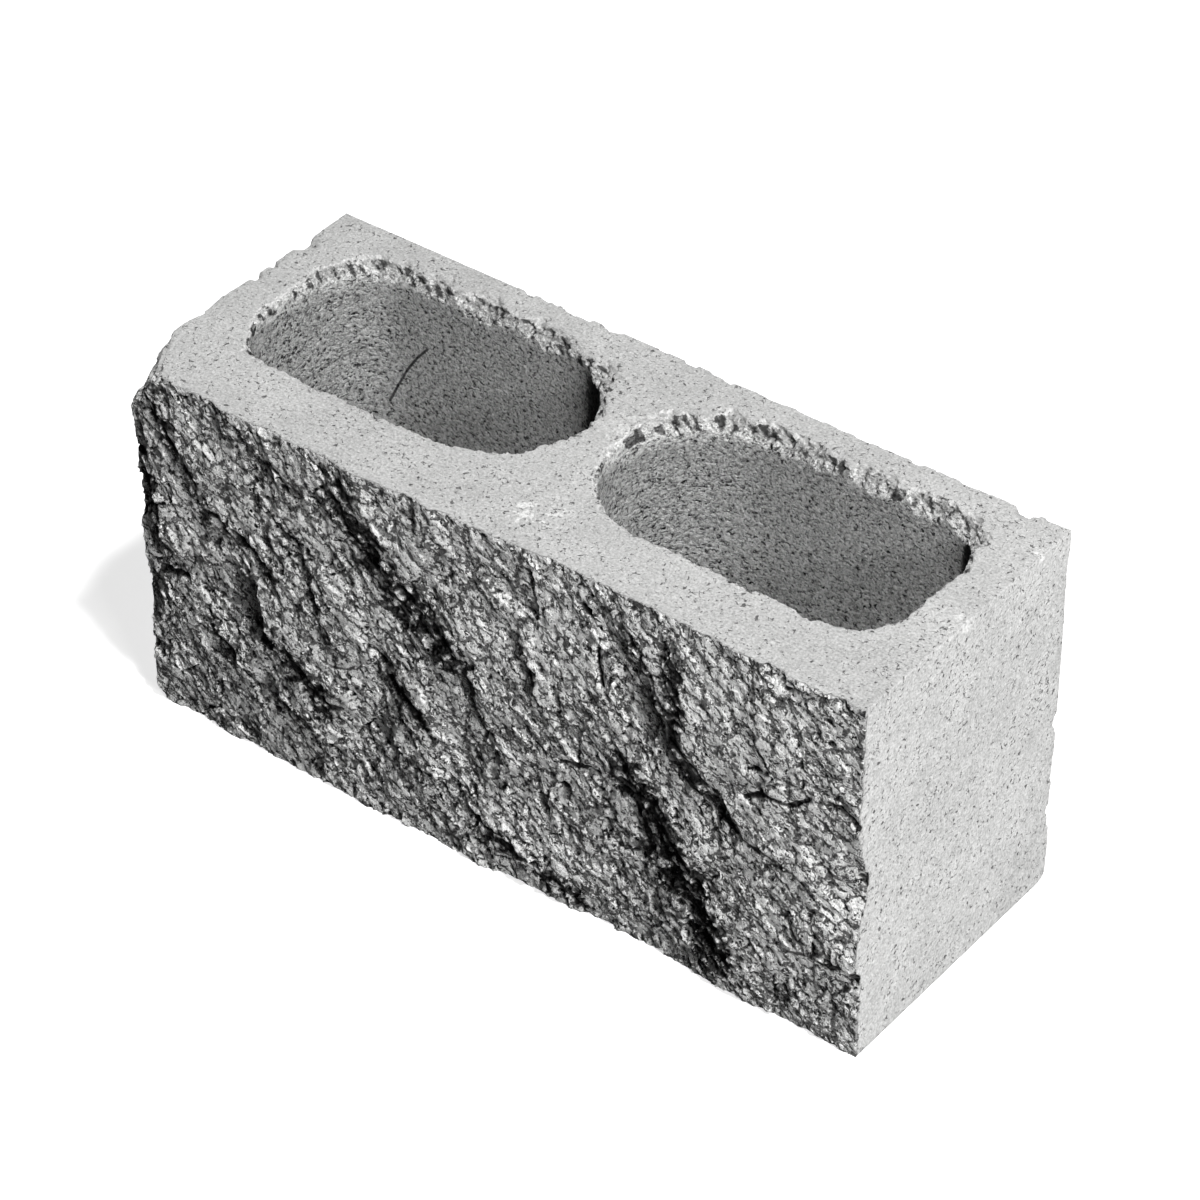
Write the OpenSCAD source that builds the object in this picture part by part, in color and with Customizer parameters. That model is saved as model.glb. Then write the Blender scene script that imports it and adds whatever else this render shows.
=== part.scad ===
// Two-core hollow concrete masonry unit with one split (rock-like) face.
// One dry-cast piece: five moulded faces, one face broken open to show the aggregate.
// X runs along the length, Y from the split face (-) to the plain back (+), Z up from the bed face.
// All sizes in millimetres. The origin is the middle of the bed face, under the centre web.

/* [Overall size] */
// Length, end face to end face (mm)
length = 397; // [384:1:410]
// Height, bed face to top face (mm)
height = 194; // [184:1:200]
// Width, plain back to the mean plane of the split face (mm)
width = 146; // [140:1:154]

/* [Shells and webs] */
// Thickness of the shell behind the split face, at the top (mm)
front_shell = 33; // [28:0.5:36]
// Thickness of the plain back shell, at the top (mm)
back_shell = 22; // [19:0.5:26]
// Thickness of each end web, at the top (mm)
end_web = 22; // [19:0.5:28]
// Thickness of the centre web at its narrowest, at the top (mm)
centre_web = 22; // [20:0.5:30]

/* [Cores] */
// Length of the rounded nose of each core, towards the centre web (mm)
nose_length = 50; // [38:1:60]
// Roundness of the nose: 2 is an ellipse, more is squarer
nose_power = 2.1; // [1.9:0.1:3]
// Length of the rounded-off outer end of each core (mm)
outer_length = 32; // [20:1:44]
// Squareness of the left core's outer end: 2 is an ellipse, more is squarer
left_outer_power = 2.5; // [2:0.1:4]
// Squareness of the right core's outer end
right_outer_power = 2.9; // [2:0.1:4]
// How much each core wall leans in from the top to the bed face (mm per side)
core_taper = 2.5; // [0.5:0.5:4]
// Extra opening where the top rims have crumbled (mm)
rim_flare = 2; // [0.5:0.5:4]
// Depth of that crumbled band below the top face (mm)
rim_depth = 7; // [3:1:12]

/* [Split face] */
// Scale of the broken relief: 1 is as built
relief_scale = 1; // [0.5:0.05:1.2]
// Furthest the relief stands out from its mean plane (mm)
relief_out = 9; // [5:0.5:11]
// Furthest the relief falls behind its mean plane (mm)
relief_in = 6; // [3:0.5:8]
// Height of single lumps of aggregate in the relief (mm)
lump_height = 0.9; // [0:0.1:1.5]
// Facets of relief along the length
relief_cols = 60; // [40:2:70]
// Facets of relief up the height
relief_rows = 30; // [20:2:36]

/* [Wear] */
// Broken top corner at the left of the split face, along the top edge (mm)
corner_chip_x = 16; // [6:1:20]
// The same broken corner, back along the end face (mm)
corner_chip_y = 28; // [20:1:44]
// The same broken corner, down the end edge (mm)
corner_chip_z = 22; // [12:1:36]
// Rounded-over edge between the top and the right end (mm)
edge_wear = 2.5; // [1:0.5:3]
// The same edge where it runs out at the split face (mm)
front_edge_wear = 4; // [3.5:0.5:6]
// Worn foot of the back right corner (mm)
foot_wear = 4; // [2:0.5:6]
// Size of the nick in the top edge of the left end (mm)
nick_size = 6; // [3:0.5:8]
// Where that nick is, from the plain back (mm)
nick_from_back = 27; // [15:1:60]

/* [Hidden] */

hx = length / 2;
hy = width / 2;
slab = 14;                 // depth of the faceted slab that carries the relief
join_y = -hy + slab;       // plane where the slab meets the moulded body
core_y0 = -hy + front_shell;
core_y1 = hy - back_shell;
core_mid = (core_y0 + core_y1) / 2;
core_half = (core_y1 - core_y0) / 2;
core_in = centre_web / 2;
core_out = hx - end_web;
end_facets = 24;           // facets round each end of a core
concrete = [0.72, 0.72, 0.71];

// The breaks and swells below are drawn on a face of this size and stretch with the block.
drawn_length = 397;
drawn_height = 194;
step_fade = 14;            // how quickly a step dies out past its two ends
grid_shift = 0.3;          // sideways shift of a grid point, as a share of the grid
relief_sink = 2.5;         // brings the mean of the relief back to the mean plane

// Breaks where the face steps back towards the left and eases off towards the right:
// start x, start z, end x, end z, height of the step, width of the steep side, length of the tail.
steps = [
    [-74, 186, -52, 158, 7.0, 6, 55],
    [-52, 158, -14, 134, 6.0, 7, 60],
    [109, 172, 110, 138, 4.5, 5, 60],
    [110, 138, 138, 108, 5.0, 6, 45],
    [86, 110, 108, 84, 4.5, 7, 40],
    [108, 84, 140, 30, 7.0, 9, 45],
    [-134, 90, -94, 60, 6.5, 6, 45],
    [-54, 92, -36, 72, 5.0, 6, 35],
    [-41, 68, 2, 28, 4.0, 6, 45],
    [-91, 120, -91, 100, 3.0, 4, 30],
    [-160, 138, -140, 120, 3.5, 4, 30],
    [0, 22, 30, 14, 4.5, 6, 30],
    [-190, 160, -186, 96, 3.5, 4, 22]
];

// Broad swells and hollows: centre x, centre z, half length, half height, height out of the face.
swells = [
    [160, 145, 42, 46, 3.0],
    [150, 68, 26, 24, 3.5],
    [55, 30, 48, 34, -3.5],
    [70, 6, 34, 12, -3.0],
    [-170, 26, 40, 30, 1.5],
    [-165, 4, 30, 12, -2.0],
    [20, 110, 40, 30, 1.5],
    [-110, 150, 40, 26, 1.0],
    [-60, 20, 34, 26, 1.5],
    [197, 95, 10, 14, -6.0],
    [197, 40, 10, 12, -3.0],
    [-198, 135, 8, 30, -3.0],
    [-198, 68, 8, 20, -3.0]
];

// Height of one step at x, z.
function step_at(s, x, z) =
    let(dx = s[2] - s[0], dz = s[3] - s[1], l = sqrt(dx * dx + dz * dz))
    let(ux = dx / l, uz = dz / l)
    let(t = (x - s[0]) * ux + (z - s[1]) * uz)
    let(d = (x - s[0]) * (-uz) + (z - s[1]) * ux)
    let(past = max(0, -t, t - l))
    let(fade = exp(-pow(past / step_fade, 2)))
    s[4] * fade * (d > 0 ? exp(-d / s[6]) : exp(d / s[5]));

function swell_at(s, x, z) =
    s[4] * exp(-pow((x - s[0]) / s[2], 2) - pow((z - s[1]) / s[3], 2));

// Lumps of coarse aggregate: one height and one sideways shift for each point of the grid.
point_count = (relief_cols + 1) * (relief_rows + 1);
lumps = rands(-1, 1, point_count, 11);
shifts_x = rands(-1, 1, point_count, 23);
shifts_z = rands(-1, 1, point_count, 37);

function sum(list, i = 0) = i < len(list) ? list[i] + sum(list, i + 1) : 0;
function all_steps(x, z) = sum([for (s = steps) step_at(s, x, z)]);
function all_swells(x, z) = sum([for (s = swells) swell_at(s, x, z)]);

// Distance the face stands out of its mean plane at x, z, with a lump of aggregate on it.
function relief(x, z, lump) =
    let(sx = x * drawn_length / length, sz = z * drawn_height / height)
    max(-relief_in, min(relief_out,
        relief_scale * (all_steps(sx, sz) + all_swells(sx, sz) + lump - relief_sink)));

// Where the face starts and ends at height z. The left side follows the broken corner, which
// has shrunk to the given share of its size where it leaves the slab.
function left_x(z, share) =
    let(drop = corner_chip_z * share)
    -hx + corner_chip_x * share * max(0, (z - height + drop) / drop);
function right_x(z) = hx - (z < height ? 0 : front_edge_wear);

// Place i, j of the grid, before any shift.
function grid_x(i, j, share) =
    let(z = height * j / relief_rows, left = left_x(z, share))
    left + (right_x(z) - left) * i / relief_cols;
function grid_z(j) = height * j / relief_rows;

// One point of the broken face. Points on the rim of the face keep to the rim.
function face_point(i, j) =
    let(k = j * (relief_cols + 1) + i)
    let(dx = i == 0 || i == relief_cols ? 0 : shifts_x[k] * grid_shift * length / relief_cols)
    let(dz = j == 0 || j == relief_rows ? 0 : shifts_z[k] * grid_shift * height / relief_rows)
    let(x = grid_x(i, j, 1) + dx, z = grid_z(j) + dz)
    [x, -hy - relief(x, z, lump_height * lumps[k]), z];

// The slab with the broken face on its front: a closed grid of facets.
module split_face() {
    nc = relief_cols;
    nr = relief_rows;
    row = nc + 1;
    front = [for (j = [0:nr]) for (i = [0:nc]) face_point(i, j)];
    grid = [for (j = [0:nr - 1]) for (i = [0:nc - 1])
        let(a = j * row + i, b = a + 1, c = a + row + 1, d = a + row)
        each ((i + j) % 2 == 0 ? [[a, d, b], [b, d, c]] : [[a, d, c], [a, c, b]])];
    // the rim of the face, once round, and the same rim carried back to the body
    rim = concat(
        [for (i = [0:nc - 1]) [i, 0]], [for (j = [0:nr - 1]) [nc, j]],
        [for (i = [nc:-1:1]) [i, nr]], [for (j = [nr:-1:1]) [0, j]]);
    chip_left = 1 - slab / corner_chip_y;
    back = [for (p = rim) [grid_x(p[0], p[1], chip_left), join_y, grid_z(p[1])]];
    nf = len(front);
    n = len(rim);
    sides = [for (k = [0:n - 1])
        let(next = (k + 1) % n)
        let(a = rim[k][1] * row + rim[k][0], b = rim[next][1] * row + rim[next][0])
        each [[a, b, nf + next], [a, nf + next, nf + k]]];
    back_face = [[for (k = [0:n - 1]) nf + k]];
    color(concrete)
        polyhedron(points = concat(front, back), faces = concat(grid, sides, back_face), convexity = 6);
}

// Moulded part of the block behind the split face, with its worn places.
module body() {
    color(concrete)
        difference() {
            translate([-hx, join_y, 0])
                cube([length, hy - join_y, height]);
            corner_chip();
            worn_edge();
            worn_foot();
            nick();
        }
}

// Top corner broken off at the left of the split face: one sloping cut.
module corner_chip() {
    corner = [-hx, -hy, height];
    along = [corner_chip_x, 0, 0];
    back = [0, corner_chip_y, 0];
    down = [0, 0, -corner_chip_z];
    // far corner of the cutter, well clear of the block
    out = [-2, -2, 1] * corner_chip_z;
    polyhedron(points = [corner + along, corner + back, corner + down, corner + out],
        faces = [[0, 1, 2], [0, 3, 1], [1, 3, 2], [2, 3, 0]]);
}

// Edge between the top and the right end, worn to a narrow slope.
module worn_edge() {
    cut = 20;
    translate([hx, 0, height])
        rotate([0, -45, 0])
            translate([-edge_wear / sqrt(2), -width, -cut / 2])
                cube([cut, 2 * width, cut]);
}

// Bottom back corner of the right end, rubbed away.
module worn_foot() {
    cut = 60;
    translate([hx, hy, 0])
        rotate([0, 0, 45])
            rotate([0, 55, 0])
                translate([-foot_wear, -cut / 2, -cut / 2])
                    cube(cut);
}

// Nick in the top edge of the left end.
module nick() {
    translate([-hx, hy - nick_from_back, height])
        rotate([0, 0, 45])
            cube(nick_size, center = true);
}

// One rounded end of a core in plan: half a superellipse, from a0 round to a0 + 180 degrees.
// x0 is where the end starts, reach its length, grow opens it on every side.
function round_end(x0, reach, power, a0, grow) = [for (k = [0:end_facets])
    let(a = a0 + 180 * k / end_facets, c = cos(a), s = sin(a))
    [x0 + (reach + grow) * sign(c) * pow(abs(c), 2 / power),
     core_mid + (core_half + grow) * sign(s) * pow(abs(s), 2 / power)]];

// Plan of one core: a long nose towards the centre web, a squarer outer end towards +x.
function core_plan(outer_power, grow) = concat(
    round_end(core_in + nose_length, nose_length, nose_power, 90, grow),
    round_end(core_out - outer_length, outer_length, outer_power, -90, grow));

function ring(plan, z) = [for (p = plan) [p[0], p[1], z]];

// A core is lofted ring by ring: leaning walls, then the crumbled band at the top.
module core(outer_power) {
    levels = [
        [-1, -core_taper], [height - rim_depth, -0.2],
        [height, rim_flare], [height + 1, rim_flare + 0.3]
    ];
    rings = [for (l = levels) ring(core_plan(outer_power, l[1]), l[0])];
    n = len(rings[0]);
    m = len(levels);
    sides = [for (j = [0:m - 2]) for (i = [0:n - 1])
        let(a = j * n + i, b = j * n + (i + 1) % n, c = b + n, d = a + n)
        each [[a, c, b], [a, d, c]]];
    floor_cap = [[for (i = [0:n - 1]) i]];
    roof_cap = [[for (i = [n - 1:-1:0]) (m - 1) * n + i]];
    polyhedron(points = [for (q = rings) each q],
        faces = concat(sides, floor_cap, roof_cap), convexity = 4);
}

// One casting: the body and its split face, opened by two tapered cores,
// held to the module's length and height.
module block() {
    color(concrete)
        resize([length, 0, height])
            difference() {
                union() {
                    body();
                    split_face();
                }
                mirror([1, 0, 0]) core(left_outer_power);
                core(right_outer_power);
            }
}

block();
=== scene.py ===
# %% [markdown]
# # A split-face concrete block
#
# The object is one hollow concrete block, the kind a mason lays in mortar. A press packs a stiff
# mix into a steel mould, so five of its faces are flat and finely pitted. The sixth was never
# moulded: two blocks are cast back to back and broken apart, and the break leaves a face like
# quarried stone. The lesson builds it as one casting: a plain box, two tapered cores, then the
# break, the worn edges and the crumbled rims, and at last one concrete made of nodes.

# %% Load the packed frame
import math
import bpy
import numpy as np
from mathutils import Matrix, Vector


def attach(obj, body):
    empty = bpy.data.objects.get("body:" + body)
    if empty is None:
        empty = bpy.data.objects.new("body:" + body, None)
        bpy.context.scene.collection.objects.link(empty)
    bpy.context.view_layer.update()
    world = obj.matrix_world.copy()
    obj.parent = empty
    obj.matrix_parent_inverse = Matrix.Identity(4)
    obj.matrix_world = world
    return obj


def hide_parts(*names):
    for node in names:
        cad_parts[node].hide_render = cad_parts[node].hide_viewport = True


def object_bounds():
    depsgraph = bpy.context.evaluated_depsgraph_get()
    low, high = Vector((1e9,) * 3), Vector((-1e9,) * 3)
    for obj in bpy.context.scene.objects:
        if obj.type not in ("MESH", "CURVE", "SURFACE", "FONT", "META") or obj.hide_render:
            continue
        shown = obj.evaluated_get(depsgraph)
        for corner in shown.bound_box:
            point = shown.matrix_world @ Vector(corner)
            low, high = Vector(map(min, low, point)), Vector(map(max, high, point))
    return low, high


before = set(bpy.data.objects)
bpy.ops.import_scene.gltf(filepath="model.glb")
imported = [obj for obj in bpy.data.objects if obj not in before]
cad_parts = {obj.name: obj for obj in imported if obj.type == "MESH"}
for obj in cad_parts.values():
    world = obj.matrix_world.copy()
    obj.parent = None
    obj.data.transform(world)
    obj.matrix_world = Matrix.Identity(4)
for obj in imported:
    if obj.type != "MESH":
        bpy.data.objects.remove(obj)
cad_lo, cad_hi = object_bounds()
bpy.ops.object.select_all(action="DESELECT")
print("frame box", tuple(cad_lo), tuple(cad_hi))

# %% [markdown]
# ## Sizes
#
# Everything is taken from the frame's box and from a few estimated sizes. The bed face is
# at height 0, the length runs along X, and the broken face looks towards -Y. The origin lies
# halfway between the plain back and the mean plane of the break, so that plane is easy to find.

# %% Sizes of the block
MM = 0.001
length = cad_hi.x - cad_lo.x
height = cad_hi.z
half = length / 2
back_y = cad_hi.y
break_y = -back_y
front_shell = 33 * MM
back_shell = 22 * MM
end_web = 22 * MM
centre_web = 22 * MM
taper = 2.5 * MM
core_y = ((break_y + front_shell) + (back_y - back_shell)) / 2
core_half = ((back_y - back_shell) - (break_y + front_shell)) / 2
nose_length = 50 * MM
outer_length = 32 * MM
nose_power = 2.1
outer_power = {-1: 2.5, 1: 2.9}
half_mm, height_mm, back_mm = half / MM, height / MM, back_y / MM
print("length %.3f height %.3f break plane %.3f" % (length, height, break_y))

# %% [markdown]
# ## Camera
#
# A long lens from the front right, a little over a metre above the block. It comes first, so that
# every later choice can be looked at.

# %% Camera
camera_azimuth = math.radians(37.54)
camera_elevation = math.radians(38.08)
camera_distance = 2.04
camera_aim = Vector((0.0, 0.0065, 0.103))
back = Vector((
    math.sin(camera_azimuth) * math.cos(camera_elevation),
    -math.cos(camera_azimuth) * math.cos(camera_elevation),
    math.sin(camera_elevation),
))
bpy.ops.object.camera_add(location=camera_aim + back * camera_distance)
camera = bpy.context.object
camera.name = "camera"
camera.rotation_euler = (-back).to_track_quat("-Z", "Y").to_euler()
camera.data.lens = 138.2
camera.data.sensor_width = 36
bpy.context.scene.camera = camera
print("camera at", tuple(round(v, 3) for v in camera.location))

# %% [markdown]
# ## The casting before it is broken
#
# A box is the honest start for a moulded block. The cores are cut with two cutters. In plan a
# core has a long rounded nose towards the centre web and a squarer outer end, which a
# superellipse gives from one angle, and its walls lean in towards the bed so that the mould's
# core bars pull out.

# %% Box and core cutters
def tell(thing, note):
    print("%s: %s, %d vertices, %d faces" % (
        thing.name, note, len(thing.data.vertices), len(thing.data.polygons)))


def points_of(thing):
    co = np.empty(len(thing.data.vertices) * 3)
    thing.data.vertices.foreach_get("co", co)
    return co.reshape(-1, 3)


def move_points(thing, co):
    thing.data.vertices.foreach_set("co", co.ravel())
    thing.data.update()


def core_edge(angle, side, grow):
    """Point of a core's plan at an angle from its middle. side is -1 for the left core."""
    c, s = np.cos(angle), np.sin(angle)
    nose = c < 0
    power = np.where(nose, nose_power, outer_power[side])
    reach = np.where(nose, nose_length, outer_length) + grow
    start = np.where(nose, centre_web / 2 + nose_length, half - end_web - outer_length)
    x = start + reach * np.sign(c) * np.abs(c) ** (2 / power)
    y = core_y + (core_half + grow) * np.sign(s) * np.abs(s) ** (2 / power)
    return side * x, y


def core_cutter(side):
    """A tapered core, taller than the block, ready to be cut out."""
    over = 20 * MM
    bpy.ops.mesh.primitive_cylinder_add(
        vertices=128, radius=1, depth=height + 2 * over, location=(0, 0, height / 2))
    cutter = bpy.context.object
    bpy.ops.object.transform_apply(location=True, rotation=True, scale=True)
    co = points_of(cutter)
    lean = taper * (co[:, 2] / height - 1)
    co[:, 0], co[:, 1] = core_edge(np.arctan2(co[:, 1], co[:, 0]), side, lean)
    move_points(cutter, co)
    bpy.ops.object.mode_set(mode="EDIT")
    bpy.ops.mesh.select_all(action="SELECT")
    bpy.ops.mesh.normals_make_consistent(inside=False)
    bpy.ops.object.mode_set(mode="OBJECT")
    return cutter


def pick_only(thing):
    bpy.ops.object.select_all(action="DESELECT")
    thing.select_set(True)
    bpy.context.view_layer.objects.active = thing


def apply_modifier(thing, kind, **settings):
    modifier = thing.modifiers.new(kind.lower(), kind)
    for name, value in settings.items():
        setattr(modifier, name, value)
    pick_only(thing)
    bpy.ops.object.modifier_apply(modifier=modifier.name)


bpy.ops.mesh.primitive_cube_add(
    size=1, location=(0, 0, height / 2), scale=(length, back_y - break_y, height))
block = bpy.context.object
block.name = "concrete_block"
bpy.ops.object.transform_apply(location=True, rotation=True, scale=True)
for side in (-1, 1):
    cutter = core_cutter(side)
    apply_modifier(block, "BOOLEAN", operation="DIFFERENCE", solver="EXACT", object=cutter)
    bpy.data.objects.remove(cutter)
tell(block, "cored")

# %% [markdown]
# ## Even points to work with
#
# The box has a few large faces, and there is nothing on them to move. A voxel remesh covers the
# whole casting with an even net of small squares, joins the cores to the faces and rounds the
# edges by about one voxel, which is how cast concrete looks anyway.

# %% Remesh
voxel = 1.12 * MM
apply_modifier(block, "REMESH", mode="VOXEL", voxel_size=voxel, adaptivity=0)
tell(block, "remeshed")

# %% [markdown]
# ## Repeatable noise
#
# Stone needs noise, and the noise has to be the same on every run. The lattice function turns
# whole numbers into a fixed value between 0 and 1. Value noise smooths between its corners.
# Chips do the opposite: each cell is a flat, tilted flake that ends in a small cliff at its
# neighbour, which is how a brittle mix breaks.

# %% Noise and chips
def lattice(i, j, seed):
    n = i.astype(np.int64) * 374761393 + j.astype(np.int64) * 668265263 + seed * 974634777
    n = (n ^ (n >> 13)) * 1274126177
    n = n ^ (n >> 16)
    return (n & 0xFFFFFF) / float(0xFFFFFF)


def swell_noise(u, v, seed):
    """Smooth noise from -1 to 1."""
    i, j = np.floor(u), np.floor(v)
    a, b = u - i, v - j
    a, b = a * a * (3 - 2 * a), b * b * (3 - 2 * b)
    low = lattice(i, j, seed) * (1 - a) + lattice(i + 1, j, seed) * a
    high = lattice(i, j + 1, seed) * (1 - a) + lattice(i + 1, j + 1, seed) * a
    return 2 * (low * (1 - b) + high * b) - 1


def chips(u, v, seed, tilt):
    """Flat tilted flakes, one in each cell, from about -1 to 1."""
    i, j = np.floor(u), np.floor(v)
    nearest = np.full(u.shape, 9.0)
    level = np.zeros(u.shape)
    for di in (-1, 0, 1):
        for dj in (-1, 0, 1):
            ci, cj = i + di, j + dj
            a = u - ci - lattice(ci, cj, seed)
            b = v - cj - lattice(ci, cj, seed + 1)
            far = a * a + b * b
            slope_u = lattice(ci, cj, seed + 3) - 0.5
            slope_v = lattice(ci, cj, seed + 4) - 0.5
            here = lattice(ci, cj, seed + 2) * 2 - 1 + tilt * (a * slope_u + b * slope_v)
            closer = far < nearest
            nearest = np.where(closer, far, nearest)
            level = np.where(closer, here, level)
    return level


def smooth(value, low, high):
    t = np.clip((value - low) / (high - low), 0, 1)
    return t * t * (3 - 2 * t)


print("noise sample", swell_noise(np.array([0.5, 3.2]), np.array([0.1, 7.7]), 5).round(3))

# %% [markdown]
# ## The broken face
#
# The break runs in short ledges. At each one the face steps back towards the lower left and then
# eases out again, so a light from the upper right leaves the risers dark. A few broad swells lie
# between them, and thin cracks where the mix parted round a stone. Over these come flakes in four
# sizes, down to single grains. The ends of the ledges and of the cracks were picked by eye in the
# camera's view, and a separate calculation turned them into millimetres. Their drops and widths,
# the swells and the flakes were chosen one by one.

# %% Ledges, cracks, swells and flakes
# start x, z, end x, z, drop, width of the drop, length of the ease
ledges = [
    (-68, 184, -48, 158, 4.9, 9, 36),
    (-42, 148, -10, 132, 4.9, 10, 45),
    (109, 172, 114, 134, 4.1, 4, 30),
    (114, 134, 138, 108, 4.5, 5, 30),
    (86, 108, 110, 72, 5.0, 9, 36),
    (110, 72, 142, 26, 5.0, 13, 40),
    (-128, 104, -120, 82, 4.5, 4, 36),
    (-120, 82, -88, 64, 5.8, 7, 40),
    (-44, 90, -28, 76, 4.9, 5, 30),
    (-49, 48, -34, 40, 3.6, 4, 26),
    (-90, 120, -84, 98, 3.6, 3.5, 26),
    (-152, 134, -118, 118, 3.6, 4, 26),
    (-180, 178, -158, 150, 3.2, 4, 26),
    (-190, 146, -180, 100, 3.6, 4, 22),
    (-153, 60, -140, 50, 3.2, 3.5, 26),
    (-110, 150, -92, 142, 3.2, 3.5, 26),
    (-94, 174, -74, 164, 2.8, 3, 26),
    (-134, 190, -110, 176, 2.8, 3, 26),
    (-12, 128, -2, 104, 2.8, 3, 26),
    (-112, 40, -94, 32, 3.2, 3.5, 26),
    (-2, 32, 46, 12, 4.5, 5, 30),
    (0, 94, 8, 72, 2.8, 3, 24),
    (26, 138, 34, 120, 2.8, 3, 24),
    (84, 172, 96, 148, 2.8, 3, 26),
    (96, 148, 110, 126, 2.8, 3, 26),
    (150, 100, 176, 88, 2.8, 3, 26),
    (175, 58, 197, 50, 3.2, 3.5, 26),
]
# start x, z, end x, z, depth, half width
cracks = [
    (139, 133, 147, 139, 1.3, 1.5),
    (147, 139, 160, 140, 1.0, 1.4),
    (160, 140, 169, 149, 1.2, 1.5),
    (176, 150, 199, 161, 1.3, 1.3),
    (142, 122, 152, 128, 2.6, 1.7),
    (152, 128, 165, 128, 1.8, 1.5),
    (165, 128, 174, 136, 2.4, 1.6),
    (180, 137, 187, 138, 2.0, 1.5),
    (187, 138, 198, 129, 2.6, 1.8),
    (65, 158, 66, 139, 2.2, 1.4),
    (42, 88, 59, 91, 2.4, 1.7),
    (59, 91, 88, 87, 2.2, 1.7),
    (-189, 81, -173, 84, 2.6, 2.0),
    (55, 175, 58, 174, 4.0, 2.0),
    (43, 72, 45, 73, 4.5, 2.2),
]
# centre x, z, half length, half height, height out of the face
swells = [
    (160, 145, 42, 46, 3.0),
    (150, 68, 26, 24, 3.0),
    (55, 40, 48, 34, -3.0),
    (70, 4, 34, 10, -3.0),
    (-165, 2, 30, 10, -2.0),
    (20, 110, 40, 30, 1.5),
    (197, 95, 10, 14, -6.0),
    (197, 40, 10, 12, -3.0),
    (-198, 135, 8, 30, -3.0),
    (-198, 68, 8, 20, -3.0),
]
# length and width of a flake, its height, its tilt
flakes = [(22, 16, 0.9, 1.2), (10, 7.5, 0.75, 1.4), (5.2, 3.6, 0.50, 1.2), (2.9, 2.2, 0.36, 1.0)]
run_of_break = math.radians(-42)
top_out = 4.5
most_out = 13.0
print("%d ledges, %d cracks, %d swells" % (len(ledges), len(cracks), len(swells)))

# %% [markdown]
# ## How one ledge and one crack are shaped
#
# A ledge falls quickly on one side of its line and slowly on the other, and fades past its ends.
# A crack is a narrow groove along a line. Ridges that curve round the start of the break, which a
# glass maker would call hackle, are made from the distance to that start.

# %% Ledge, crack and hackle
def ledge(x, z, x0, z0, x1, z1, drop, steep, ease):
    """Height of the ground round one ledge, and how much of its dark riser is here."""
    long = math.hypot(x1 - x0, z1 - z0)
    ux, uz = (x1 - x0) / long, (z1 - z0) / long
    along = (x - x0) * ux + (z - z0) * uz
    aside = (z - z0) * ux - (x - x0) * uz
    past = np.maximum(0, np.maximum(-along, along - long))
    fall = np.exp(np.minimum(aside, 0) / steep) * np.exp(-np.maximum(aside, 0) / ease)
    reach = np.exp(-(past / 10) ** 2)
    return drop * reach * fall, reach * np.exp(-((aside + steep) / (1.6 * steep)) ** 2) * drop / 7


def crack(x, z, x0, z0, x1, z1, depth, wide):
    long = math.hypot(x1 - x0, z1 - z0)
    ux, uz = (x1 - x0) / long, (z1 - z0) / long
    along = np.clip((x - x0) * ux + (z - z0) * uz, 0, long)
    far = np.hypot(x - x0 - along * ux, z - z0 - along * uz)
    return -depth * np.exp(-(far / wide) ** 2)


def bent_crack(x, z, wx, wz, one):
    """A crack that wanders a little less than the ledges do."""
    return crack(x * 0.4 + wx * 0.6, z * 0.4 + wz * 0.6, *one)


def hackle(x, z):
    """Curved ridges that run round the point where the break began."""
    from_x, from_z, spacing = 12, 82, 6.5
    ring = np.hypot(x - from_x, z - from_z)
    turn = np.arctan2(z - from_z, x - from_x) - math.radians(-128)
    place = smooth(ring, 36, 44) * smooth(ring, 82, 72) * np.exp(-(turn / 0.55) ** 2)
    step = ring / spacing
    return place * 1.5 * (step - np.floor(step))


print("first ledge at its middle", ledge(np.array([-58.0]), np.array([171.0]), *ledges[0])[0].round(2))

# %% [markdown]
# ## The height of the break
#
# The ledges, swells, cracks and flakes are added up for every point. All of them read a place that
# wanders a few millimetres, because nothing in broken stone runs straight. The sum is held back
# softly near its limit, where a plain clip would leave flat spots.

# %% Relief
def wander(x, z):
    """The same place, moved a few millimetres, so that no ledge runs straight."""
    wx = x + 3.5 * swell_noise(x / 22, z / 22, 3) + 1.2 * swell_noise(x / 6, z / 6, 4)
    wz = z + 3.5 * swell_noise(x / 22, z / 22, 5) + 1.2 * swell_noise(x / 6, z / 6, 6)
    return wx, wz


def all_ledges(wx, wz):
    up, riser = np.zeros(wx.shape), np.zeros(wx.shape)
    ragged_x = wx + 2.6 * swell_noise(wx / 8, wz / 8, 7)
    ragged_z = wz + 2.6 * swell_noise(wx / 8, wz / 8, 8)
    for one in ledges:
        one_up, one_riser = ledge(ragged_x, ragged_z, *one)
        up += one_up
        riser = np.maximum(riser, one_riser)
    return up, riser


def relief(x, z):
    """How far the broken face stands out at x, z. All in millimetres."""
    wx, wz = wander(x, z)
    up, riser = all_ledges(wx, wz)
    out = top_out * z / height_mm + up
    for cx, cz, rx, rz, rise in swells:
        out += rise * np.exp(-((wx - cx) / rx) ** 2 - ((wz - cz) / rz) ** 2)
    for one in cracks:
        out += bent_crack(x, z, wx, wz, one)
    out += hackle(wx, wz)
    u = wx * math.cos(run_of_break) + wz * math.sin(run_of_break)
    v = wz * math.cos(run_of_break) - wx * math.sin(run_of_break)
    for k, (flake_long, flake_wide, rise, tilt) in enumerate(flakes):
        rise = rise * (1 + 1.5 * riser) if k else rise
        out += rise * chips(u / flake_long, v / flake_wide, 20 + 10 * k, tilt)
    return most_out * np.tanh(out / most_out)


print("relief at the middle %.2f mm" % relief(np.array([0.0]), np.array([97.0]))[0])
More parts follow.
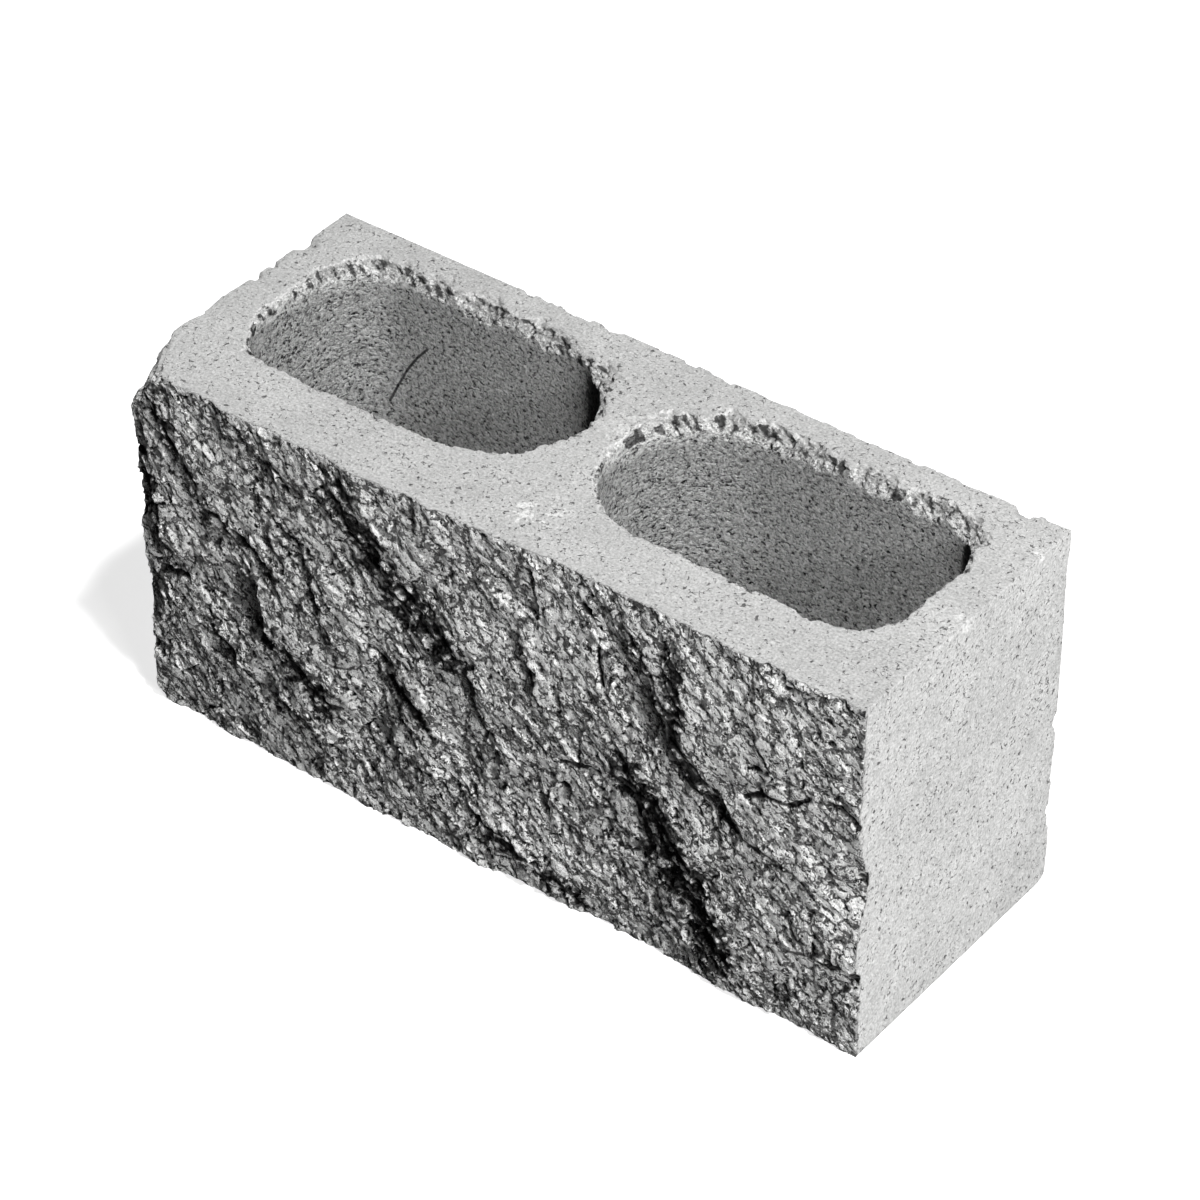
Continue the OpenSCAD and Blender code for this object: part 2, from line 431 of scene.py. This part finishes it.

# %% [markdown]
# ## Crevices
#
# Painted shade goes wherever a place lies lower than its surroundings, under the ledges and in
# the cracks. The surroundings are sampled on two small circles, one for grains and one for flakes.

# %% Crevices
def crevices(x, z):
    """Painted shade: 1 deep between flakes and under ledges, 0 on open ground."""
    here = relief(x, z)
    dark = np.zeros(x.shape)
    for reach, low, high in ((2.0, 0.25, 1.1), (7.0, 1.1, 3.4)):
        around = np.zeros(x.shape)
        for k in range(6):
            turn = k * math.pi / 3
            around += relief(x + reach * math.cos(turn), z + reach * math.sin(turn)) / 6
        dark = 1 - (1 - dark) * (1 - smooth(around - here, low, high))
    wx, wz = wander(x, z)
    # painted shade on the risers of the ledges, broken up by noise
    riser = all_ledges(wx, wz)[1] * (0.85 + 1.1 * swell_noise(wx / 4.2, wz / 2.4, 9))
    dark = 1 - (1 - dark) * (1 - 0.92 * smooth(riser, 0.22, 0.62))
    # painted shade along the cracks
    for one in cracks:
        line = -bent_crack(x, z, wx, wz, one)
        line *= 0.8 + 0.8 * swell_noise(wx / 5, wz / 3, 10)
        dark = 1 - (1 - dark) * (1 - 0.75 * smooth(line, 0.7, 1.7))
    return dark


print("crevice at the middle %.2f" % crevices(np.array([0.0]), np.array([97.0]))[0])

# %% [markdown]
# ## Break the face
#
# The points of the flat front are pushed out and in by the relief. The push fades over the first
# 16 mm behind the face, so that the edges of the ends, top and bed follow it.

# %% Break the face
carry = 16 * MM
co = points_of(block)
near = co[:, 1] < break_y + carry
x, z = co[near, 0] / MM, co[near, 2] / MM
share = smooth(-co[near, 1], -(break_y + carry), -break_y)
co[near, 1] -= relief(x, z) * share * MM
move_points(block, co)
print("relief from %.1f to %.1f mm" % (relief(x, z).min(), relief(x, z).max()))

# %% [markdown]
# ## Crumbled rims
#
# Where the press stripped the core bars, the top rims crumbled into a rough bevel, widest along
# the back of each core. A bevel with two equal legs is made by sliding the points of both faces
# that lie inside it onto its slope.

# %% Rims
def from_core(co, side):
    """Distance outside a core's wall, the way out of it, and how far back on it a point lies."""
    inner = centre_web / 2 + nose_length
    outer = half - end_web - outer_length
    x = side * co[:, 0]
    dx = np.where(x < inner, (x - inner) / nose_length, np.maximum(0, x - outer) / outer_length)
    power = np.where(x < inner, nose_power, outer_power[side])
    dy = (co[:, 1] - core_y) / core_half
    round_by = (np.abs(dx) ** power + np.abs(dy) ** power) ** (1 / power)
    way = np.maximum(np.hypot(dx, dy), 1e-6)
    return (round_by - 1) * core_half, dx / way * side, dy / way, dy


def from_bore(co):
    """Distance from the wall of the nearer core."""
    return np.minimum(np.abs(from_core(co, -1)[0]), np.abs(from_core(co, 1)[0]))


def crumbs(co):
    """Loose grains of about 2.6 mm, from about -1 to 1."""
    x, y, z = (co / MM).T
    return chips(x / 2.6 + z / 3.1, y / 2.6 - z / 3.3, 76, 1.4)


def rim_crumble(co):
    for side in (-1, 1):
        outside, ax, ay, dy = from_core(co, side)
        depth = height - co[:, 2]
        mm_x, mm_y = co[:, 0] / MM, co[:, 1] / MM
        rough = 0.7 * swell_noise(mm_x / 9, mm_y / 9, 71) + 0.5 * swell_noise(mm_x / 3, mm_y / 3, 74)
        back_side = smooth(dy, 0.1, 0.75)
        bite = np.maximum(0, swell_noise(mm_x / 11, mm_y / 11, 73)) * (1 - back_side)
        bevel = (1.8 + 4.2 * back_side + 3.6 * bite) * np.maximum(0.25, 1 + 0.85 * rough) * MM
        on_top = (depth < 0.8 * MM) & (outside > -1 * MM) & (outside < bevel)
        on_wall = (depth >= 0.8 * MM) & (depth < bevel) & (outside < 1 * MM) & (outside > -6 * MM)
        slide_top = (bevel - outside) / 2 * on_top
        slide_wall = (bevel - depth) / 2 * on_wall
        slide = np.maximum(slide_top, slide_wall)
        slide += 0.50 * MM * (crumbs(co) + 0.3) * (slide > 0) * (0.8 + 0.2 * back_side)
        co[:, 0] += ax * slide
        co[:, 1] += ay * slide
        co[:, 2] -= slide
    return co


co = rim_crumble(points_of(block))
tell(block, "rims crumbled")

# %% [markdown]
# ## Broken corner, worn arrises and nicks
#
# Corners are cut in the same spirit: every point beyond a sloping plane is brought back to it, with
# grains left standing. A nick is smaller, so there the points near one place sink inwards.

# %% Corners and nicks
def cut_corner(co, point, normal, rough):
    """Brings every point beyond a plane back to it, with a little roughness. Millimetres."""
    normal = np.array(normal, float) / np.linalg.norm(normal)
    beyond = (co / MM - np.array(point)) @ normal
    x, y, z = (co / MM).T
    grain = chips(x / 6.3 + y / 8.7, z / 6.3, 91, 1.5) + swell_noise(x / 19 + y / 16, z / 19, 92)
    grain *= rough * np.maximum(0.15, 0.8 + 1.1 * swell_noise(x / 47 + y / 31, z / 47, 93))
    back_by = np.maximum(0, beyond + grain * (beyond > -1))
    return co - back_by[:, None] * normal * MM


def nick(co, x, y, z, wide, deep):
    """A small bite out of an edge: points inside a rough ball sink towards the block's middle."""
    away = co / MM - np.array([x, y, z])
    uneven = swell_noise(away[:, 0] / 3 + away[:, 2] / 4, away[:, 1] / 3, 95)
    far = np.linalg.norm(away, axis=1) * (1 + 0.25 * uneven)
    at_end, at_side, at_top = abs(x) > half_mm - 3, abs(y) > back_mm - 3, z > height_mm - 3
    inward = np.array([-np.sign(x) * at_end, -np.sign(y) * at_side, -1.0 * at_top])
    inward /= np.linalg.norm(inward)
    return co + (smooth(far, wide, wide * 0.35) * deep * MM)[:, None] * inward


# broken top corner at the left of the split face: reach along x, y and down z
chip_x, chip_y, chip_z = 16, 28, 22
chip_slope = (-1 / chip_x, -1 / chip_y, 1 / chip_z)
co = cut_corner(co, (-half_mm + chip_x, -back_mm, height_mm), chip_slope, 1.1)
# worn foot at the back right, slack bottom corner at the left
co = cut_corner(co, (half_mm - 5, back_mm, 0), (1, 1, -1.2), 0.4)
co = cut_corner(co, (-half_mm + 6, -back_mm, 0), (-1, -0.4, -0.8), 0.8)
# crumbled arrises: the left top, the plain back's top, the right end's upright at the back
co = cut_corner(co, (-half_mm + 1.2, 0, height_mm), (-1, 0, 1), 0.9)
co = cut_corner(co, (0, back_mm - 0.8, height_mm), (0, 1, 1), 0.7)
co = cut_corner(co, (half_mm - 0.8, back_mm, 0), (1, 1, 0), 0.6)
# bites out of the edges: place, width, depth
nicks = [
    (-198, 42, 194, 8, 2.8),
    (-198, 8, 194, 5, 2.0),
    (-198, 20, 194, 4, 1.6),
    (176, 73, 194, 7, 2.4),
    (120, 73, 194, 4, 1.2),
    (20, 73, 194, 5, 1.3),
    (-90, 73, 194, 4, 1.2),
    (198, -6, 194, 6, 1.8),
    (198, 50, 194, 4, 1.3),
    (198, 73, 90, 6, 1.4),
    (198, 73, 40, 5, 1.3),
]
for one in nicks:
    co = nick(co, *one)
move_points(block, co)
tell(block, "worn")

# %% [markdown]
# ## Fewer points where nothing happens
#
# The broken face and the crumbled rims need every point, the moulded faces do not. The decimate
# operator works on the selected faces only, so all the others are selected by place and thinned.

# %% Thin the moulded faces
most_triangles = 196000
rim_reach, rim_depth, break_reach = 9 * MM, 11 * MM, 6 * MM


def triangles(thing):
    return sum(len(p.vertices) - 2 for p in thing.data.polygons)


def select_faces(thing, chosen):
    bpy.ops.object.mode_set(mode="OBJECT")
    mesh = thing.data
    mesh.vertices.foreach_set("select", np.zeros(len(mesh.vertices), bool))
    mesh.edges.foreach_set("select", np.zeros(len(mesh.edges), bool))
    mesh.polygons.foreach_set("select", chosen)
    bpy.ops.object.mode_set(mode="EDIT")
    bpy.ops.mesh.select_mode(type="FACE")


def face_centres(thing):
    out = np.empty(len(thing.data.polygons) * 3)
    thing.data.polygons.foreach_get("center", out)
    return out.reshape(-1, 3)


pick_only(block)
bpy.ops.object.mode_set(mode="EDIT")
bpy.ops.mesh.select_all(action="SELECT")
bpy.ops.mesh.quads_convert_to_tris()
bpy.ops.object.mode_set(mode="OBJECT")
for _ in range(3):
    if triangles(block) <= most_triangles:
        break
    centre = face_centres(block)
    rims = (height - centre[:, 2] < rim_depth) & (from_bore(centre) < rim_reach)
    plain = (centre[:, 1] > break_y + break_reach) & ~rims
    keep = triangles(block) - plain.sum()
    select_faces(block, plain)
    bpy.ops.mesh.decimate(ratio=max(0.02, (most_triangles - keep) / plain.sum()))
    bpy.ops.object.mode_set(mode="OBJECT")
    tell(block, "thinned")

# %% [markdown]
# ## Shading
#
# Flakes have crisp edges and moulded faces do not, so smooth shading stops at an angle. The thinned
# faces have long triangles beside short ones, and a normal that is an even mean of them would bend
# the light across a flat wall, so each face is weighted by its area.

# %% Smooth by angle
crease_angle = math.radians(38)
pick_only(block)
bpy.ops.object.shade_smooth_by_angle(angle=crease_angle)
apply_modifier(block, "WEIGHTED_NORMAL", mode="FACE_AREA", weight=100, keep_sharp=True)
tell(block, "shaded")

# %% [markdown]
# ## Which surface is which
#
# The broken face shows raw aggregate, the moulded faces a skin of cement, and the cores were
# dragged open by the core bars. The material needs to know, so three numbers are stored at each
# point: the break, the bores of the cores, and the shade painted into crevices, rims and corners.

# %% Store the surfaces as attributes
co = points_of(block)
normals = np.empty(len(co) * 3)
block.data.vertices.foreach_get("normal", normals)
normals = normals.reshape(-1, 3)
broken = smooth(-co[:, 1], -(break_y + 7 * MM), -(break_y + 3 * MM))
broken *= smooth(-normals[:, 1], 0.05, 0.35)
depth, outside = height - co[:, 2], from_bore(co)
bore = smooth(outside, 5 * MM, 3 * MM) * smooth(depth, 0.5 * MM, 2 * MM)
# deep holds the shade that is painted into the colour
deep = np.zeros(len(co))
near = broken > 0
deep[near] = crevices(co[near, 0] / MM, co[near, 2] / MM) * broken[near]
# the rims, down to 8 mm and as far from the wall as the crumbling reached: patchy painted shade and
# the texture of the break
ragged = smooth(depth, 0.6 * MM, 1.4 * MM) * smooth(depth, 8 * MM, 5 * MM)
loose = swell_noise(co[:, 0] / MM / 2.2 + co[:, 2] / MM / 2.9, co[:, 1] / MM / 2.2, 78)
rim = smooth(outside, 8 * MM, 6 * MM)
deep = np.maximum(deep, ragged * rim * (1 - broken) * (0.28 + 0.5 * smooth(-loose, 0.15, 0.6)))
broken = np.maximum(broken, ragged * rim * 0.45)
# the back right corner of each bore is darkened, because bounced light leaves it too grey
corner = smooth(-normals[:, 0], 0.20, 0.58) * smooth(-normals[:, 1], 0.45, 0.62)
deep = np.maximum(deep, bore * (1 - broken) * corner * 0.92)


def store(name, values):
    layer = block.data.attributes.new(name, "FLOAT", "POINT")
    layer.data.foreach_set("value", values)
    print("%s on %.2f of the points" % (name, (values > 0.5).mean()))


store("broken", broken)
store("bore", bore)
store("deep", deep)

# %% [markdown]
# ## Writing shaders as sums
#
# A small class wraps a socket, so that a pattern can be written as an expression.

# %% Shader values
class Value:
    """A shader socket that can be added, multiplied and compared in Python."""

    def __init__(self, maker, socket):
        self.maker = maker
        self.socket = socket

    def math(self, operation, other, third=None):
        values = [self, other] if third is None else [self, other, third]
        return self.maker.node("ShaderNodeMath", {"operation": operation}, values)

    def __add__(self, other):
        return self.math("ADD", other)

    __radd__ = __add__

    def __mul__(self, other):
        return self.math("MULTIPLY", other)

    __rmul__ = __mul__

    def __sub__(self, other):
        return self.math("SUBTRACT", other)

    def __rsub__(self, other):
        return self.maker.node("ShaderNodeMath", {"operation": "SUBTRACT"}, [other, self])

    def power(self, other):
        return self.math("POWER", other)

    def least(self, other):
        return self.math("MINIMUM", other)

    def most(self, other):
        return self.math("MAXIMUM", other)

    def between(self, low, high):
        """0 below low, 1 above high, smooth in between. low may be the larger one."""
        flip = low > high
        values = {"Value": self, "From Min": min(low, high), "From Max": max(low, high)}
        made = self.maker.node("ShaderNodeMapRange", {"interpolation_type": "SMOOTHSTEP"}, values)
        return 1 - made if flip else made


print("operators", [name for name in vars(Value) if name.startswith("__")][:3])

# %% [markdown]
# ## Adding nodes
#
# A second class adds the nodes to one material. Its first method takes a node's type, its settings
# and the values or links of its sockets. The others are the few patterns that concrete needs.

# %% Node maker
class Maker:
    """Adds nodes to one material."""

    def __init__(self, name):
        self.material = bpy.data.materials.new(name)
        self.material.use_nodes = True
        self.tree = self.material.node_tree
        self.tree.nodes.clear()

    def node(self, kind, settings=None, values=(), out=0):
        made = self.tree.nodes.new(kind)
        for name, value in (settings or {}).items():
            setattr(made, name, value)
        pairs = values.items() if isinstance(values, dict) else enumerate(values)
        for key, value in pairs:
            if isinstance(value, Value):
                self.tree.links.new(value.socket, made.inputs[key])
            else:
                made.inputs[key].default_value = value
        return Value(self, made.outputs[out]) if len(made.outputs) else None

    def noise(self, where, scale, detail=2.0, rough=0.5):
        return self.node("ShaderNodeTexNoise", {}, {
            "Vector": where, "Scale": scale, "Detail": detail, "Roughness": rough})

    def cells(self, where, scale, feature="F1", out="Distance", random=1.0):
        values = {"Vector": where, "Scale": scale, "Randomness": random}
        return self.node("ShaderNodeTexVoronoi", {"feature": feature}, values, out)

    def parts(self, vector):
        """The X, Y and Z of a vector."""
        first = self.node("ShaderNodeSeparateXYZ", {}, [vector])
        return [Value(self, socket) for socket in first.socket.node.outputs]

    def stroke(self, x, z, start, end, wide):
        """1 along a thin line between two points of a wall. Points and width in millimetres."""
        long = math.dist(start, end)
        ux, uz = (end[0] - start[0]) / long, (end[1] - start[1]) / long
        dx, dz = x * 1000 - start[0], z * 1000 - start[1]
        along = (dx * ux + dz * uz).most(0.0).least(long)
        far_x, far_z = dx - along * ux, dz - along * uz
        return (far_x * far_x + far_z * far_z).power(0.5).between(wide * 1.6, wide * 0.6)

    def scuffs(self, where, place, reach):
        """Pale scrapes scattered round a place."""
        far = self.node("ShaderNodeVectorMath", {"operation": "DISTANCE"}, [where, place], 1)
        scraped = self.noise(where, 230.0, 3.0, 0.6).between(0.54, 0.60)
        return far.between(reach, reach * 0.4) * scraped

    def spots(self, where, scale, size, scarce):
        """Small irregular spots, one in each of the cells whose random number passes scarce."""
        pick = self.node("ShaderNodeSeparateColor", {}, [self.cells(where, scale, out="Color")])
        spot = self.cells(where, scale).between(size, size * 0.55)
        return spot * (pick - scarce).between(0.0, 0.04)


print("patterns", [name for name in vars(Maker) if not name.startswith("_")])

# %% [markdown]
# ## The concrete
#
# Block concrete is sand, cement and small stone, pressed nearly dry. Up close it is a grey with
# fine dark pores and paler grains, and over a hand's width it drifts a little lighter and darker.
# The core bars drew the pores of the bores out along the wall. The break shows the same mix without
# its skin: larger grains, deeper pores, and hair cracks between the grains. Pores are thresholded
# noise and not round cells, because a pore in a dry mix is a ragged gap between grains.

# %% Concrete material
def concrete_material():
    make = Maker("block_concrete")
    straight = make.node("ShaderNodeTexCoord", out="Object")
    broken = make.node("ShaderNodeAttribute", {"attribute_name": "broken"}, out="Fac")
    bore = make.node("ShaderNodeAttribute", {"attribute_name": "bore"}, out="Fac")
    deep = make.node("ShaderNodeAttribute", {"attribute_name": "deep"}, out="Fac")

    # a wandering offset of about a millimetre, so that no pore is round
    offset = make.node("ShaderNodeTexNoise", {}, {
        "Vector": straight, "Scale": 420.0, "Detail": 2.0}, 1)
    where = make.node("ShaderNodeVectorMath", {"operation": "MULTIPLY_ADD"}, [
        offset, (0.0042, 0.0042, 0.0042), straight])

    drift = make.noise(straight, 12.0, 3.0)
    patch = make.noise(straight, 60.0, 3.0, 0.6)
    grit = make.noise(straight, 330.0, 3.0, 0.65)
    sand = make.noise(straight, 850.0, 2.0, 0.6)

    # the moulded skin: fine pores that gather in patches, and a few larger ones
    skin_grain = make.noise(where, 560.0, 3.0, 0.62)
    gather = (patch - 0.5) * 0.16
    pores = (skin_grain - gather).between(0.385, 0.335)
    big_pores = make.spots(where, 230.0, 0.25, 0.90)
    # the bores: pits drawn out along the wall by the core bars
    drawn = make.node("ShaderNodeMapping", {"vector_type": "TEXTURE"}, {
        "Vector": where, "Scale": (1.7, 1.7, 0.9)})
    bore_grain = make.noise(drawn, 680.0, 3.0, 0.68)
    drags = (bore_grain - gather).between(0.43, 0.37)
    holes = pores.most(big_pores) * (1 - bore) + drags * bore
    # the break: a flaky grain with dark marks, painted shade where it lies low, drawn out along the
    # run of the ledges
    along = make.node("ShaderNodeMapping", {"vector_type": "TEXTURE"}, {
        "Vector": where, "Rotation": (0.0, -run_of_break, 0.0), "Scale": (1.9, 1.0, 1.0)})
    flaky = make.noise(along, 600.0, 4.0, 0.72)
    marks = flaky.between(0.435, 0.385)
    fine_marks = make.noise(along, 1000.0, 2.0, 0.6).between(0.41, 0.36)
    # hair cracks between the grains, open only in places
    parted = make.noise(straight, 210.0, 3.0, 0.6)
    hair = make.cells(along, 180.0, "DISTANCE_TO_EDGE").between(0.10, 0.05)
    wide_hair = make.cells(along, 75.0, "DISTANCE_TO_EDGE").between(0.07, 0.04)
    splits = (hair * parted.between(0.46, 0.52)).most(wide_hair * parted.between(0.52, 0.47))
    # painted shade of the crevices, rims and bore corners, with ragged borders that stop at the next
    # grain
    ragged = (deep + (flaky - 0.5) * 1.3).between(0.34, 0.60)
    painted_shade = deep * 0.35 + ragged * 0.65
    pale = make.spots(where, 330.0, 0.36, 0.90)

    tone = 0.50 + (drift - 0.5) * 0.16 + (patch - 0.5) * 0.20
    tone = tone + (sand - 0.5) * (0.62 + broken * 0.40) + (grit - 0.5) * 0.26
    tone = tone + pale * (0.08 + broken * 0.24) + broken * 0.37
    # painted shade in the pores and in the pits drawn by the core bars, which the bump sinks too
    tone = tone * (1 - holes * (1 - broken) * (0.72 + bore * 0.16))
    # the bores' grain, paler where their bump stands high and darker where it is low: partly grain,
    # partly painted highlight and shade
    tone = tone * (1 + (bore_grain - 0.5 + (sand - 0.5) * 0.5) * bore * (1 - broken) * 2.8)
    # painted shade on the break: darker marks where its bump is low, a painted highlight where the
    # flakes stand high, and the dark hair cracks
    dark_marks = marks.most(fine_marks * 0.8).most(splits * 0.9)
    tone = tone * (1 - broken * (dark_marks * 0.95 - (flaky - 0.5) * 0.8))
    # the painted shade darkens the colour here
    tone = tone * (1 - painted_shade * 0.97) * (1 + bore * 0.34)
    # pale scrapes on the top, and a crack with a fainter one on the left bore's walls
    tone = tone + make.scuffs(straight, (0.012, -0.054, height), 0.020) * 0.22
    tone = tone + make.scuffs(straight, (0.014, 0.020, height), 0.022) * 0.14
    x, _, z = make.parts(straight)
    crack_line = [(-133, 157), (-139, 150), (-145.5, 140), (-150.5, 130), (-155, 120)]
    faint_line = [(-163, 150), (-178, 141)]
    for line, share in ((crack_line, 0.85), (faint_line, 0.35)):
        for start, end in zip(line, line[1:]):
            drawn_line = make.stroke(x, z, start, end, 0.6)
            tone = tone * (1 - drawn_line * bore * (1 - broken) * share)
    tone = tone.most(0.004).least(0.92)
    colour = make.node("ShaderNodeCombineColor", {}, [tone, tone, tone * 0.99])

    skin_height = sand * 0.35 + grit * 0.5 - holes * 0.8 + bore_grain * bore * 5.0
    break_height = grit * 0.4 + flaky * 2.4 + sand * 0.7
    break_height = break_height - marks * 0.4 - fine_marks * 0.4 - splits * 0.6
    bump = make.node("ShaderNodeBump", {}, {
        "Strength": 0.85, "Distance": 0.0012,
        "Height": skin_height * (1 - broken) + break_height * broken})
    skin = make.node("ShaderNodeBsdfPrincipled", {}, {
        "Base Color": colour, "Roughness": 0.92 + broken * 0.04, "Normal": bump,
        "Specular IOR Level": 0.10})
    make.node("ShaderNodeOutputMaterial", {}, [skin])
    return make.material


block.data.materials.clear()
block.data.materials.append(concrete_material())
print("material nodes", len(block.data.materials[0].node_tree.nodes))

# %% [markdown]
# ## Join it to the frame
#
# The piece stands for the CAD node and rides on the row's only body.

# %% Ride and replace
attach(block, "root")
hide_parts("block")

# %% [markdown]
# ## Floor and light
#
# A plain pale floor. It shines a little by itself, which keeps the cast shadow faint, and it sends
# no light back to the block, whose crevices have to stay dark. Four small soft lamps stand round it:
# one high at the right for the top and the cores, one low at the right that rakes across the break,
# a weak one at the front, and one low behind for the back and the left end. The surround is dim for
# the block and pale for the camera, so the backdrop is plain from every side.

# %% Floor, lights and surround
def floor_material():
    make = Maker("pale_floor")
    shade = make.node("ShaderNodeBsdfPrincipled", {}, {
        "Base Color": (0.80, 0.80, 0.80, 1), "Roughness": 0.9, "Specular IOR Level": 0.2,
        "Emission Color": (1, 1, 1, 1), "Emission Strength": 0.60})
    make.node("ShaderNodeOutputMaterial", {}, [shade])
    return make.material


bpy.ops.mesh.primitive_plane_add(size=14, location=(0, 0, 0))
floor = bpy.context.object
floor.name = "floor"
floor.data.materials.append(floor_material())
floor.visible_diffuse = False
floor.visible_glossy = False


lamp_distance = 2.6


def add_light(name, towards, size, power):
    """A square soft light that looks at the block from a direction."""
    way = Vector(towards).normalized()
    bpy.ops.object.light_add(type="AREA", location=Vector((0, 0, height / 2)) + way * lamp_distance)
    light = bpy.context.object
    light.name = name
    light.rotation_euler = (-way).to_track_quat("-Z", "Y").to_euler()
    light.data.size = size
    light.data.energy = power
    light.visible_camera = False


add_light("overhead", (0.36, -0.18, 0.92), 0.20, 66)
add_light("side", (0.95, -0.30, 0.08), 0.20, 54)
add_light("front", (0.75, -0.45, 0.48), 0.35, 14)
add_light("behind", (-0.66, 0.72, 0.14), 0.60, 44)

fill_strength, backdrop_strength = 0.035, 0.72
world = bpy.data.worlds.new("surround")
world.use_nodes = True
sky = world.node_tree
sky.nodes["Background"].inputs["Color"].default_value = (1, 1, 1, 1)
sky.nodes["Background"].inputs["Strength"].default_value = fill_strength
seen = sky.nodes.new("ShaderNodeBackground")
seen.inputs["Strength"].default_value = backdrop_strength
path = sky.nodes.new("ShaderNodeLightPath")
choose = sky.nodes.new("ShaderNodeMixShader")
sky.links.new(path.outputs["Is Camera Ray"], choose.inputs[0])
sky.links.new(sky.nodes["Background"].outputs[0], choose.inputs[1])
sky.links.new(seen.outputs[0], choose.inputs[2])
sky.links.new(choose.outputs[0], sky.nodes["World Output"].inputs["Surface"])
bpy.context.scene.world = world
bpy.context.scene.view_settings.view_transform = "Standard"

# %% [markdown]
# ## Finish
#
